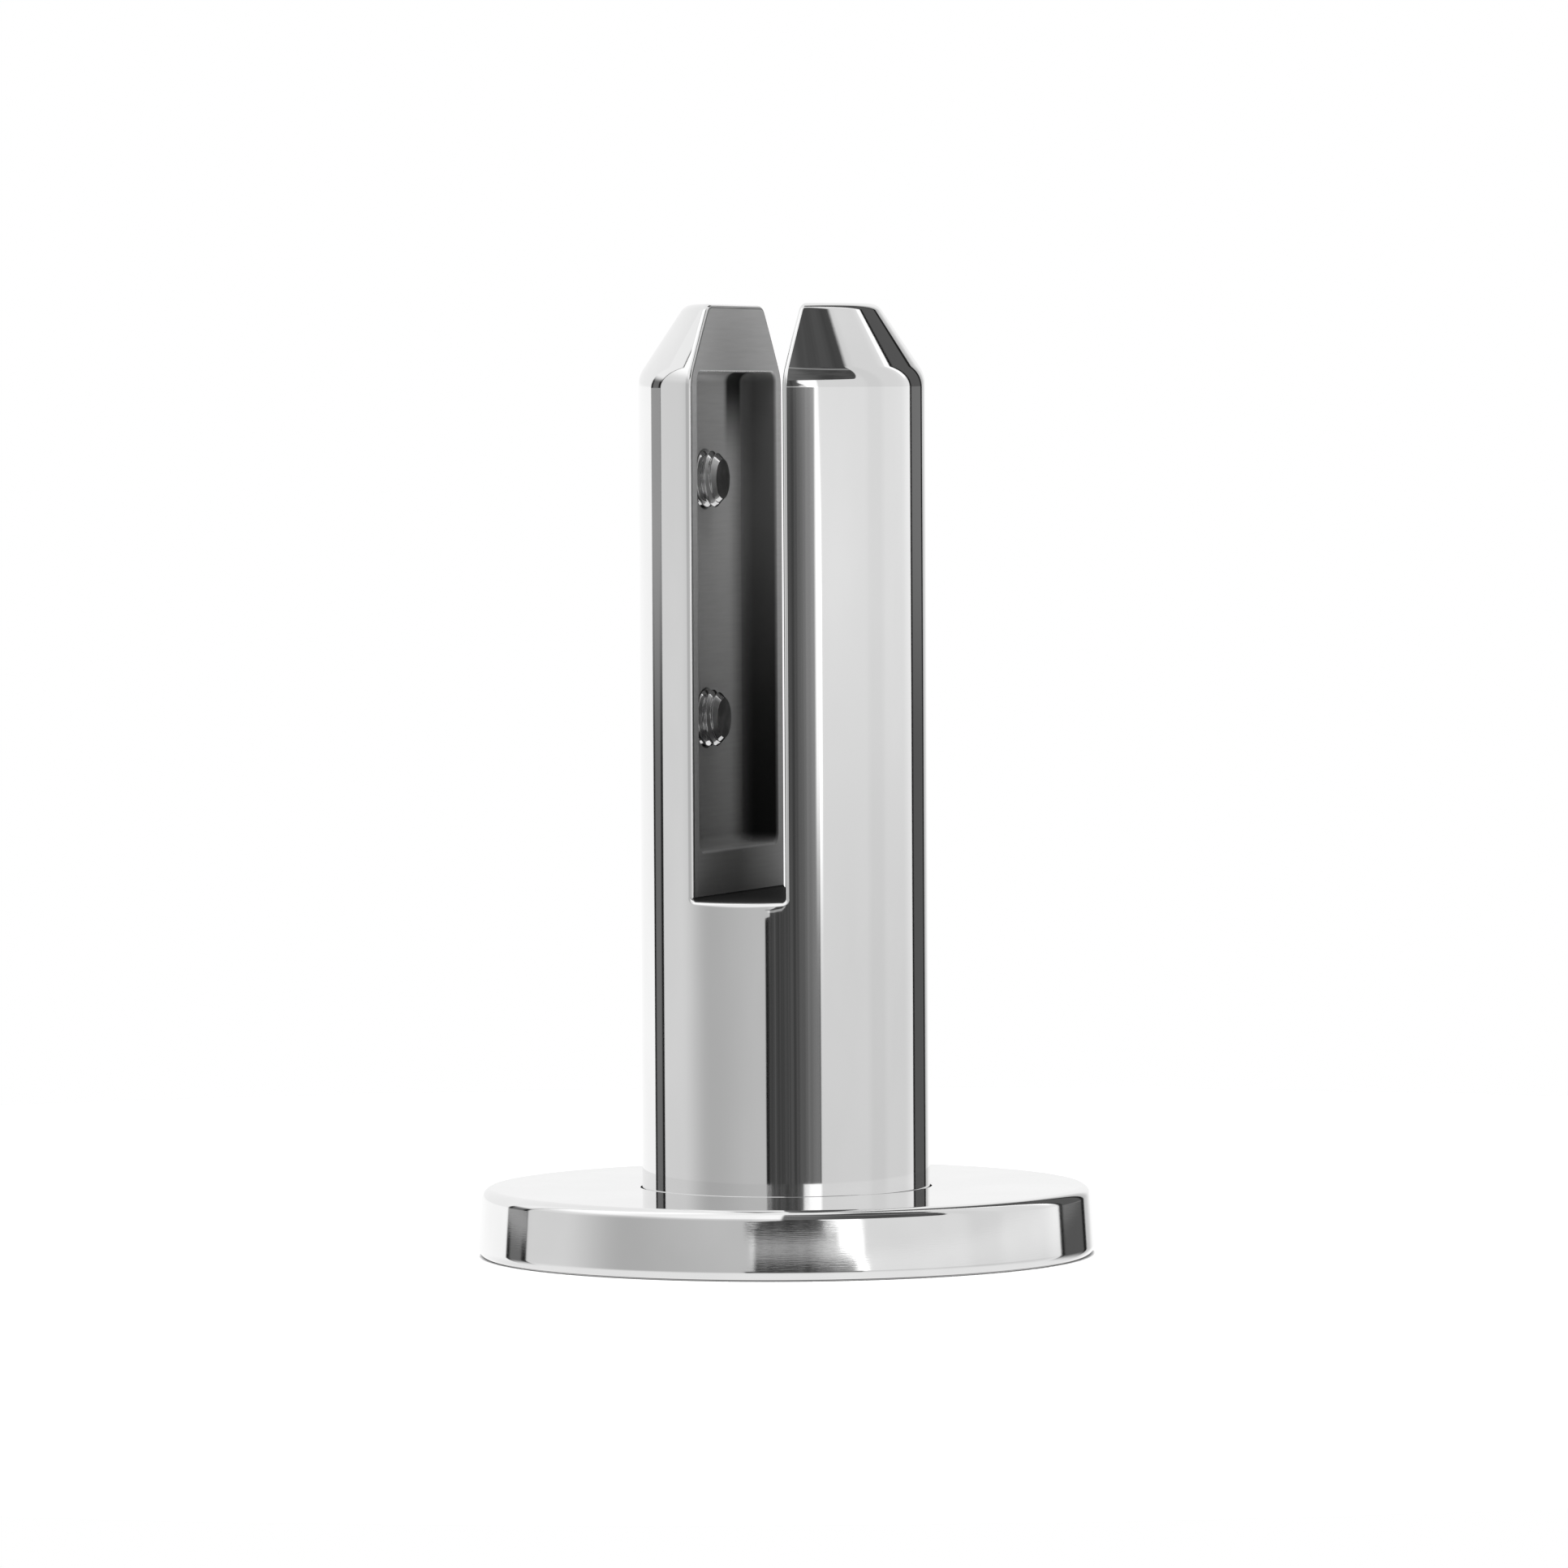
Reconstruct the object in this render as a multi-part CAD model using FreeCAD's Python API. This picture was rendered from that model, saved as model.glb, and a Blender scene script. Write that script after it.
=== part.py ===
import FreeCAD, Part
import math
import os

# Friction glass spigot, millimetres. Origin at the bottom centre of the base, +Z up.
# X runs across the slot, with the set screws in the -X jaw; the glass panel runs along Y.

# Post: a round casting with a tapered head
POST_D = 50.8
POST_HEIGHT = 167.5
HEAD_RUN = 8.5          # how far the taper leans in from the post's side
HEAD_RISE = 12.8        # how tall the taper is
SHOULDER_R = 6.5        # blend between the post's side and the taper
HEAD_EDGE = 0.4         # bevel between the taper and the flat top

# Base flange, cast with the post
FLANGE_D = 100.0
FLANGE_T = 8.5

# Countersunk anchor holes through the flange
ANCHOR_COUNT = 4
ANCHOR_PCD = 76.0
ANCHOR_HOLE_D = 11.0
ANCHOR_SINK_D = 20.0
ANCHOR_FIRST_ANGLE = 45.0

# Slot that takes the edge of the glass
SLOT_W = 16.8
SLOT_FLOOR_Z = 63.4
SLOT_ROOT_R = 0.6       # inside corners at the slot floor
SLOT_EDGE_R = 0.8       # polished round where the slot breaks the outside

# Pocket in the inner wall of the screw jaw
POCKET_DEPTH = 6.1
POCKET_W = 40.2
POCKET_Z0 = 71.8
POCKET_Z1 = 155.6
POCKET_R = 1.8          # inside corners, and the round along the pocket's floor
POCKET_LIP = 0.5        # bevel where the pocket breaks the slot's wall

# Hex socket set screws, flat point
SCREW_D = 10.0
SCREW_LEN = 10.0
SCREW_Z = {"lower_set_screw": 94.6, "upper_set_screw": 136.8}
SCREW_TIP_X = -11.1     # where the points stand
SCREW_TIP_D = 7.0
SCREW_TIP_CHAMFER = 1.4
SOCKET_AF = 5.0
SOCKET_DEPTH = 4.0
SOCKET_SIDES = 6
SCREW_CLEARANCE = 0.05  # radial, between thread crests and the hole

# Cover ring, a dished shell that drops over the post and hides the flange
COVER_HEIGHT = 12.1
COVER_BOTTOM_D = 109.2
COVER_TOP_D = 107.6
COVER_T = 1.5
COVER_EDGE_R = 2.0
COVER_FOOT = 1.0        # bevel at the foot of the skirt
COVER_HOLE_CLEARANCE = 0.3
COVER_SECTORS = 4       # the ring is turned in quarters, which keeps the faces of its round edge simple

POST_R = POST_D / 2
OVERSHOOT = 20.0        # how far cutting tools run past what they cut
TOUCH = 1e-5            # points nearer than this count as lying on a surface


def rounded_outline(corners):
    """Closed wire in the XZ plane through (x, z, corner radius), straight runs joined by tangent arcs."""
    points = [FreeCAD.Vector(x, 0, z) for x, z, _ in corners]
    starts, ends, arcs = [], [], []
    for i, (_, _, radius) in enumerate(corners):
        here = points[i]
        if not radius:
            starts.append(here)
            ends.append(here)
            arcs.append(None)
            continue
        to_last = (points[i - 1] - here).normalize()
        to_next = (points[(i + 1) % len(points)] - here).normalize()
        half = to_last.getAngle(to_next) / 2
        first = here + to_last * (radius / math.tan(half))
        last = here + to_next * (radius / math.tan(half))
        middle = here + (to_last + to_next).normalize() * (radius / math.sin(half) - radius)
        starts.append(first)
        ends.append(last)
        arcs.append(Part.Arc(first, middle, last).toShape())
    edges = []
    for i, arc in enumerate(arcs):
        if arc:
            edges.append(arc)
        edges.append(Part.LineSegment(ends[i], starts[(i + 1) % len(corners)]).toShape())
    return Part.Wire(edges)


def turned(corners, sectors=1):
    """Solid of revolution about Z from a rounded outline of (radius, z, corner radius)."""
    centre, axis = FreeCAD.Vector(), FreeCAD.Vector(0, 0, 1)
    angle = 360 / sectors
    sector = Part.Face(rounded_outline(corners)).revolve(centre, axis, angle)
    if sectors == 1:
        return sector
    return sector.fuse([sector.rotated(centre, axis, i * angle) for i in range(1, sectors)])


def along_x(shape):
    """Turns a solid built about Z so that its axis runs along X, +Z becoming +X."""
    return shape.rotated(FreeCAD.Vector(), FreeCAD.Vector(0, 1, 0), 90)


def shared_edges(solid, shell_a, shell_b):
    """Edges of a solid whose middle lies on both surfaces, such as where a cut breaks the outside."""
    found = []
    for edge in solid.Edges:
        middle = edge.valueAt((edge.FirstParameter + edge.LastParameter) / 2)
        point = Part.Vertex(middle)
        if all(point.distToShape(shell)[0] < TOUCH for shell in (shell_a, shell_b)):
            found.append(edge)
    return found


def post_blank():
    """Post, tapered head and flange as one turned form."""
    head_r = POST_R - HEAD_RUN
    flange_r = FLANGE_D / 2
    return turned([
        (0, 0, 0),
        (flange_r, 0, 0),
        (flange_r, FLANGE_T, 0),
        (POST_R, FLANGE_T, 0),
        (POST_R, POST_HEIGHT - HEAD_RISE, SHOULDER_R),
        (head_r + HEAD_EDGE * HEAD_RUN / HEAD_RISE, POST_HEIGHT - HEAD_EDGE, 0),
        (head_r - HEAD_EDGE, POST_HEIGHT, 0),
        (0, POST_HEIGHT, 0),
    ])


def slot_tool():
    half, top = SLOT_W / 2, POST_HEIGHT + OVERSHOOT
    face = Part.Face(rounded_outline([
        (-half, SLOT_FLOOR_Z, SLOT_ROOT_R),
        (half, SLOT_FLOOR_Z, SLOT_ROOT_R),
        (half, top, 0),
        (-half, top, 0),
    ]))
    length = POST_D + 2 * OVERSHOOT
    tool = face.extrude(FreeCAD.Vector(0, length, 0))
    tool.translate(FreeCAD.Vector(0, -length / 2, 0))
    return tool


def pocket_tool():
    """Block with round corners and a round floor edge, reaching from the pocket floor into the slot."""
    floor_x = -SLOT_W / 2 - POCKET_DEPTH
    reach = POCKET_DEPTH + SLOT_W / 2
    block = Part.makeBox(reach, POCKET_W, POCKET_Z1 - POCKET_Z0,
                         FreeCAD.Vector(floor_x, -POCKET_W / 2, POCKET_Z0))
    corners = [e for e in block.Edges if e.BoundBox.XLength > reach / 2]
    block = block.makeFillet(POCKET_R, corners)
    floor = [e for e in block.Edges if abs(e.BoundBox.XMax - floor_x) < TOUCH]
    return block.makeFillet(POCKET_R, floor)


def tapped_hole(z):
    """Hole for one set screw through the outer wall of the screw jaw."""
    start = FreeCAD.Vector(-SLOT_W / 2 - POST_R, 0, z)
    return Part.makeCylinder(SCREW_D / 2 + SCREW_CLEARANCE, POST_R, start, FreeCAD.Vector(1, 0, 0))


def anchor_hole(angle):
    """Countersunk through hole in the flange."""
    hole_r, sink_r = ANCHOR_HOLE_D / 2, ANCHOR_SINK_D / 2
    sink_depth = sink_r - hole_r
    at = FreeCAD.Vector(ANCHOR_PCD / 2, 0, 0)
    hole = Part.makeCylinder(hole_r, FLANGE_T, at)
    sink = Part.makeCone(hole_r, sink_r, sink_depth, at + FreeCAD.Vector(0, 0, FLANGE_T - sink_depth))
    return hole.fuse(sink).rotated(FreeCAD.Vector(), FreeCAD.Vector(0, 0, 1), angle)


def spigot_body():
    blank, slot, pocket = post_blank(), slot_tool(), pocket_tool()
    body = blank.cut(slot)
    body = body.makeFillet(SLOT_EDGE_R, shared_edges(body, blank.Shells[0], slot.Shells[0]))
    body = body.cut(pocket)
    body = body.makeChamfer(POCKET_LIP, shared_edges(body, slot.Shells[0], pocket.Shells[0]))
    holes = [tapped_hole(z) for z in SCREW_Z.values()]
    step = 360.0 / ANCHOR_COUNT
    holes += [anchor_hole(ANCHOR_FIRST_ANGLE + i * step) for i in range(ANCHOR_COUNT)]
    return body.cut(holes)


def hex_prism(across_flats, depth):
    """Hexagonal prism about Z, standing on the XY plane."""
    corner_r = across_flats / math.sqrt(3)
    turns = [2 * math.pi * i / SOCKET_SIDES for i in range(SOCKET_SIDES + 1)]
    corners = [FreeCAD.Vector(corner_r * math.cos(t), corner_r * math.sin(t), 0) for t in turns]
    return Part.Face(Part.makePolygon(corners)).extrude(FreeCAD.Vector(0, 0, depth))


def set_screw(z):
    """Headless screw with a chamfered flat point and a hex socket in its outer end."""
    r = SCREW_D / 2
    shank = turned([
        (0, 0, 0),
        (r, 0, 0),
        (r, SCREW_LEN - SCREW_TIP_CHAMFER, 0),
        (SCREW_TIP_D / 2, SCREW_LEN, 0),
        (0, SCREW_LEN, 0),
    ])
    screw = along_x(shank.cut(hex_prism(SOCKET_AF, SOCKET_DEPTH)))
    return screw.translated(FreeCAD.Vector(SCREW_TIP_X - SCREW_LEN, 0, z))


def cover_ring():
    """Flat ring with a round top edge and a skirt that leans out towards its bevelled foot."""
    hole_r = POST_R + COVER_HOLE_CLEARANCE
    bottom_r, top_r = COVER_BOTTOM_D / 2, COVER_TOP_D / 2
    inner_r = top_r - COVER_T
    draft = (bottom_r - top_r) / COVER_HEIGHT
    return turned([
        (hole_r, COVER_HEIGHT - COVER_T, 0),
        (inner_r, COVER_HEIGHT - COVER_T, 0),
        (inner_r, 0, 0),
        (bottom_r - COVER_FOOT, 0, 0),
        (bottom_r - COVER_FOOT * draft, COVER_FOOT, 0),
        (top_r, COVER_HEIGHT, COVER_EDGE_R),
        (hole_r, COVER_HEIGHT, 0),
    ], COVER_SECTORS)


nodes = {"spigot_body": spigot_body(), "cover_ring": cover_ring()}
for screw_name, screw_z in SCREW_Z.items():
    nodes[screw_name] = set_screw(screw_z)

os.makedirs("parts", exist_ok=True)
for name, shape in nodes.items():
    solid = shape.Solids[0]
    print(name, len(shape.Solids), solid.isValid(), round(solid.Volume), solid.BoundBox)
    solid.exportStep(os.path.join("parts", name + ".step"))
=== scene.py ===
import math

import bpy
import numpy as np
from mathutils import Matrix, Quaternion, Vector
from mathutils.geometry import delaunay_2d_cdt


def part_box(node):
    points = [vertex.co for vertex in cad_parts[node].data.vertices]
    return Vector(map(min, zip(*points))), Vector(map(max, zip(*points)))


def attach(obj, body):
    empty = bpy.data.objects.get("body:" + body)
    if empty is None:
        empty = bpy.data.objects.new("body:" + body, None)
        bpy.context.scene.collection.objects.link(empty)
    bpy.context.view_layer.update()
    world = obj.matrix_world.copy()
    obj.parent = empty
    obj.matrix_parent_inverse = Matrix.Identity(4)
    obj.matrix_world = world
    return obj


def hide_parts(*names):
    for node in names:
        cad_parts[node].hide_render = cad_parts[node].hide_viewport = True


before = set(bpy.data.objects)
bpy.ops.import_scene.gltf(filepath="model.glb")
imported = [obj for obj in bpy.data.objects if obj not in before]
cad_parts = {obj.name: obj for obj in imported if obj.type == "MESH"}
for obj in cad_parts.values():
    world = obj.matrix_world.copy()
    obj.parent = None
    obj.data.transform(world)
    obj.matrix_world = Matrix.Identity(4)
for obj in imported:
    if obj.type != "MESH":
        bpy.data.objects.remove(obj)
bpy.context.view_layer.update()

# Post and slot; sizes are in millimetres, and the frame is in metres
MM = 0.001
POST_R = 25.4
HEAD_RUN = 8.5          # how far the head tapers in
HEAD_RISE = 12.8        # over this height
SHOULDER_R = 6.5        # blend between the round side and the taper
HEAD_EDGE_R = 2.6       # round between the taper and the flat top
SLOT_HALF = 8.4
SLOT_FLOOR_Z = 63.4
SLOT_ROOT_R = 0.6
EDGE_R = 0.75           # polished round along the slot's edges
FLOOR_EDGE_R = 1.2      # the same round in the middle of the floor's ends
ROLL_OFF = 0.13         # radians that polishing tips the outside just below the slot
ROLL_OFF_REACH = 0.65   # how soon that dies away downwards

# Pocket in the screw jaw
POCKET_DEPTH = 6.1
POCKET_HALF_W = 20.1
POCKET_Z0 = 71.8
POCKET_Z1 = 155.6
POCKET_R = 1.8          # round of its corners and along its floor
POCKET_LIP_R = 0.5

# Base flange
FLANGE_R = 50.0
FLANGE_T = 8.5
FLANGE_EDGE_R = 0.5
ANCHORS = 4
ANCHOR_CIRCLE_R = 38.0
ANCHOR_HOLE_R = 5.5
ANCHOR_SINK_R = 10.0
ANCHOR_FIRST_TURN = math.pi / 4

# Set screws and their tapped holes
HOLE_R = 5.05
HOLE_LIP = 0.35
SCREW_R = 5.0
THREAD_PITCH = 1.5
THREAD_DEPTH = 0.8
ROOT_SHARE = 0.12       # share of the pitch that is flat at a thread's root
FLANK_SHARE = 0.68      # share of the pitch that its two flanks take
GROOVE_DEPTH = 0.45     # thread cut outwards into the wall of each tapped hole
GROOVE_FADE = 14        # it fades out over one part in this many at each end
TIP_R = 3.5
TIP_CHAMFER = 1.4
END_CHAMFER = 0.9
SOCKET_SIDES = 6
SOCKET_FLATS = 5.0
SOCKET_DEPTH = 4.0

# Cover ring
COVER_TOP_R = 53.8
COVER_FOOT_R = 54.6
COVER_HOLE_R = 25.7
COVER_HOLE_EDGE_R = 0.3
COVER_T = 1.5
COVER_EDGE_R = 2.0
COVER_LIP_R = 1.7
SKIRT_CROWN = 1.5       # degrees that the skirt bulges each way from its lean

# Table top under the spigot
FLOOR_R = 400.0

# Places that the CAD model gives
POST_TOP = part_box("spigot_body")[1].z / MM
COVER_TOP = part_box("cover_ring")[1].z / MM
SCREW_NODES = ("lower_set_screw", "upper_set_screw")
SCREW_Z = {name: sum(corner.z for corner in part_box(name)) / 2 / MM for name in SCREW_NODES}

# How a face was finished, and where it is coloured dark, mostly as painted shade, kept on each mesh
FINISH = "finish"
POLISHED = 0.0
SATIN = 1.0
# coloured dark: painted shade on the slot's floor, on the pocket's sides and round the cover's
# foot, and dark lines along the slot's edges
DARKENED = 2.0
EDGE_DARK_STATIONS = 2           # first stations of the slot's edge round that are coloured dark
FLOOR_DARK_STATIONS = 3          # the same at the floor's ends
LIP_PAINTED_HIGHLIGHT = 0.5         # painted highlight: how much brighter the pocket's lip is coloured than its walls
SIDE_SHADE_SPREAD = 0.35           # how far the painted shade on the pocket's side walls spreads; less is further
FOOT_SHADE = -0.85      # the cover's foot is dark where its normals point down more than this

# How finely the surfaces are divided
JAW_COLUMNS = 48
JAW_ROW = 4.0           # height of a jaw's rows
HOLE_COLUMNS = 14       # columns of the jaw that the square round each tapped hole takes up
HOLE_ROWS = 10
HOLE_SQUARE = 8.5       # half the height of that square
GROOVE_ROWS = 71        # along the thread of a tapped hole
SCREW_ROWS = 120        # along a set screw
ROUND_STEPS = 6
SHOULDER_STEPS = 8
TAPER_STEPS = 6
ROOT_STEPS = 8          # round each root of the slot
FLOOR_COLUMNS = 12      # across the slot's floor
FLOOR_ROWS = 24         # along it
POST_ROWS = 24          # up the post below the slot
CORNER_STEPS = 8        # round each corner of the pocket
SIDE_STEPS = 12         # along each of its sides
RING_STEPS = 256
TURN_STEPS = 64
TABLE_STEPS = 128
WELD_DIGITS = 5
SLIVER = 0.01           # shorter sides than this are left out of the pocket's floor
FILL_SLACK = 1e-6
FILL_INSIDE = 1         # keeps the triangles inside the loops

UP = np.array([0.0, 0.0, 1.0])
RIGHT = np.array([1.0, 0.0, 0.0])


def unit(vectors):
    """The same vectors at length one."""
    return vectors / np.linalg.norm(vectors, axis=-1, keepdims=True)


def arc_between(first, last, steps):
    """Unit vectors that turn evenly from first to last, one row for each pair."""
    angle = np.arccos(np.clip((first * last).sum(-1), -1, 1))[..., None, None]
    t = np.linspace(0, 1, steps + 1)[:, None]
    of_first = np.sin((1 - t) * angle) * first[..., None, :]
    of_last = np.sin(t * angle) * last[..., None, :]
    return (of_first + of_last) / np.sin(angle)


class Skin:
    """A mesh in the making: patches in millimetres, welded where they meet, with exact normals."""

    def __init__(self):
        self.index = {}
        self.points = []
        self.faces = []
        self.normals = []
        self.finishes = []
        self.hole_edges = []

    def corner(self, point):
        """Number of a point, which it shares with any other point in its place."""
        key = tuple(np.round(point, WELD_DIGITS) + 0.0)
        if key not in self.index:
            self.index[key] = len(self.points)
            self.points.append(point)
        return self.index[key]

    def face(self, points, normals, finishes):
        """One face, turned to look along its normals; corners that coincide are dropped."""
        kept = {}
        for point, normal, finish in zip(points, normals, finishes):
            kept.setdefault(self.corner(point), (normal, finish))
        if len(kept) < 3:
            return
        ids = list(kept)
        a, b, c = (self.points[i] for i in (ids[0], ids[1], ids[-1]))
        if np.dot(np.cross(b - a, c - a), sum(normal for normal, _ in kept.values())) < 0:
            ids.reverse()
        self.faces.append(ids)
        self.normals += [kept[i][0] for i in ids]
        self.finishes += [kept[i][1] for i in ids]

    def grid(self, points, normals, finish=POLISHED, skip=None):
        """Four-sided faces over rows and columns; skip(row, column) leaves a cell open."""
        normals = np.broadcast_to(normals, points.shape)
        finish = np.broadcast_to(finish, points.shape[:2])
        for i in range(points.shape[0] - 1):
            for j in range(points.shape[1] - 1):
                if skip and skip(i, j):
                    continue
                cell = ((i, j), (i, j + 1), (i + 1, j + 1), (i + 1, j))
                self.face([points[at] for at in cell], [normals[at] for at in cell],
                          [finish[at] for at in cell])

    def fill(self, loops, normal, finish=POLISHED):
        """Flat face inside the first loop and outside the others, each of which is convex."""
        points = np.concatenate(loops)
        lengths = [len(loop) for loop in loops]
        starts = np.cumsum([0] + lengths)
        owner = np.repeat(np.arange(len(loops)), lengths)
        lines = []
        for start, length in zip(starts, lengths):
            lines += [(start + i, start + (i + 1) % length) for i in range(length)]
        in_plane = [axis for axis in range(3) if abs(normal[axis]) < 0.5]
        flat = [Vector(point[in_plane]) for point in points]
        found = delaunay_2d_cdt(flat, lines, [], FILL_INSIDE, FILL_SLACK)
        triangles, sources = found[2], found[3]
        for corners in triangles:
            ids = [sources[c][0] for c in corners]
            loop_ids = set(owner[ids])
            if len(loop_ids) == 1 and loop_ids != {0}:
                continue
            self.face(points[ids], [normal] * 3, [finish] * 3)

    def build(self, name):
        """The finished mesh as an object, in metres."""
        mesh = bpy.data.meshes.new(name)
        mesh.from_pydata([tuple(p * MM) for p in self.points], [], self.faces)
        mesh.attributes.new(FINISH, "FLOAT", "CORNER").data.foreach_set("value", self.finishes)
        mesh.polygons.foreach_set("use_smooth", [True] * len(self.faces))
        mesh.normals_split_custom_set([tuple(n) for n in self.normals])
        piece = bpy.data.objects.new(name, mesh)
        bpy.context.scene.collection.objects.link(piece)
        return piece


def arc_stations(centre, radius, first, last, steps=ROUND_STEPS, hollow=False):
    """Stations (r, h, normal r, normal h) round an arc of a section, between angles in degrees."""
    angles = np.radians(np.linspace(first, last, steps + 1))
    facing = -1 if hollow else 1
    return [(centre[0] + radius * math.cos(a), centre[1] + radius * math.sin(a),
             facing * math.cos(a), facing * math.sin(a)) for a in angles]


def straight(first, last):
    """Two stations of a straight stretch of a section, whose outside is on the right of its run."""
    along = np.array(last) - np.array(first)
    normal = np.array([along[1], -along[0]]) / np.linalg.norm(along)
    return [(*first, *normal), (*last, *normal)]


def turned(stations, place, steps=RING_STEPS):
    """Points and normals of a section turned about an axis; place(r, h, turn) gives a vector."""
    turns = np.linspace(0, 2 * math.pi, steps + 1)
    turns[-1] = 0.0
    points = np.array([[place(r, h, t) for t in turns] for r, h, _, _ in stations])
    normals = np.array([[place(nr, nh, t) for t in turns] for _, _, nr, nh in stations])
    return points, normals


def about_z(r, h, turn):
    """Point at a radius, height and turn about the post's axis."""
    return np.array([r * math.cos(turn), r * math.sin(turn), h])


def about_x(r, h, turn):
    """The same about a set screw's axis."""
    return np.array([h, r * math.cos(turn), r * math.sin(turn)])


def thread_form(turns):
    """Height of a thread, 0 to 1, along its pitch: flat crest, straight flanks, narrow root."""
    saw = np.abs((turns % 1.0) - 0.5) * 2
    return np.clip((saw - ROOT_SHARE) / FLANK_SHARE, 0, 1)


def surface_normals(points, outwards):
    """Normals of a grid that closes on itself along its columns, from its neighbours' places."""
    down = np.gradient(points, axis=0)
    ring = points[:, :-1]
    across = np.roll(ring, -1, axis=1) - np.roll(ring, 1, axis=1)
    across = np.concatenate([across, across[:, :1]], axis=1)
    normals = unit(np.cross(down, across))
    return normals * np.sign((normals * outwards).sum(-1, keepdims=True))


# Outside of the post: its section from the slot's root up to the flat top

TAPER = math.atan2(HEAD_RUN, HEAD_RISE)
SHOULDER_Z = POST_TOP - HEAD_RISE - SHOULDER_R * math.tan(TAPER / 2)
HEAD_R = POST_R - HEAD_RUN - HEAD_EDGE_R * (1 - math.sin(TAPER)) / math.cos(TAPER)
ROOT_Z = SLOT_FLOOR_Z + SLOT_ROOT_R
BALL_X = SLOT_HALF + EDGE_R     # the slot's round follows a ball that keeps this far out


def jaw_section():
    """Rows (r, z, lean of the normal) up a jaw: straight side, shoulder, taper, edge, flat top."""
    stops = [ROOT_Z]
    for z in SCREW_Z.values():
        stops += list(np.linspace(z - HOLE_SQUARE, z + HOLE_SQUARE, HOLE_ROWS + 1))
    stops.append(SHOULDER_Z)
    heights = [stops[0]]
    for low, high in zip(stops, stops[1:]):
        pieces = max(1, round((high - low) / JAW_ROW))
        heights += list(np.linspace(low, high, pieces + 1)[1:])
    rows = [(POST_R, z, 0.0) for z in heights]
    for lean in np.linspace(0, TAPER, SHOULDER_STEPS + 1)[1:]:
        r = POST_R - SHOULDER_R * (1 - math.cos(lean))
        rows.append((r, SHOULDER_Z + SHOULDER_R * math.sin(lean), lean))
    edge_z = POST_TOP - HEAD_EDGE_R
    edge = [(HEAD_R + HEAD_EDGE_R * math.cos(lean), edge_z + HEAD_EDGE_R * math.sin(lean), lean)
            for lean in np.linspace(TAPER, math.pi / 2, ROUND_STEPS + 1)]
    foot = np.array(rows[-1])
    head = np.array(edge[0])
    rows += [tuple(foot + (head - foot) * t) for t in np.linspace(0, 1, TAPER_STEPS + 1)[1:]]
    rows += edge[1:]
    rows.append((BALL_X, POST_TOP, math.pi / 2))
    return np.array(rows)


JAW_ROWS = jaw_section()


def ball_path():
    """Where the edge ball's centre goes up a jaw (y, z), and its turn about the post."""
    r, z, lean = JAW_ROWS.T
    centre_r = r - EDGE_R * np.cos(lean)
    y = np.sqrt(np.maximum(centre_r ** 2 - BALL_X ** 2, 0))
    return y, z - EDGE_R * np.sin(lean), np.arctan2(y, BALL_X)


def jaw_outside(skin, side):
    """Round side, taper and flat top of one jaw; the one at -X has square gaps for its holes."""
    r, z, lean = (column[:, None] for column in JAW_ROWS.T)
    turns = ball_path()[2][:, None] * np.linspace(-1, 1, JAW_COLUMNS + 1)
    points = np.stack([side * r * np.cos(turns), r * np.sin(turns), z + 0 * turns], -1)
    normals = np.stack([side * np.cos(lean) * np.cos(turns), np.cos(lean) * np.sin(turns),
                        np.sin(lean) + 0 * turns], -1)
    if side > 0:
        skin.grid(points, normals)
        return
    first = (JAW_COLUMNS - HOLE_COLUMNS) // 2
    columns = range(first, first + HOLE_COLUMNS)
    middles = (z[:-1, 0] + z[1:, 0]) / 2
    gaps = []
    for hole_z in SCREW_Z.values():
        gaps.append([i for i, m in enumerate(middles) if abs(m - hole_z) < HOLE_SQUARE])
    taken = set(sum(gaps, []))
    skin.grid(points, normals, skip=lambda i, j: i in taken and j in columns)
    for rows, hole_z in zip(gaps, SCREW_Z.values()):
        block = points[rows[0]:rows[-1] + 2, first:first + HOLE_COLUMNS + 1]
        tapped_hole(skin, block, hole_z)


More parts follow.
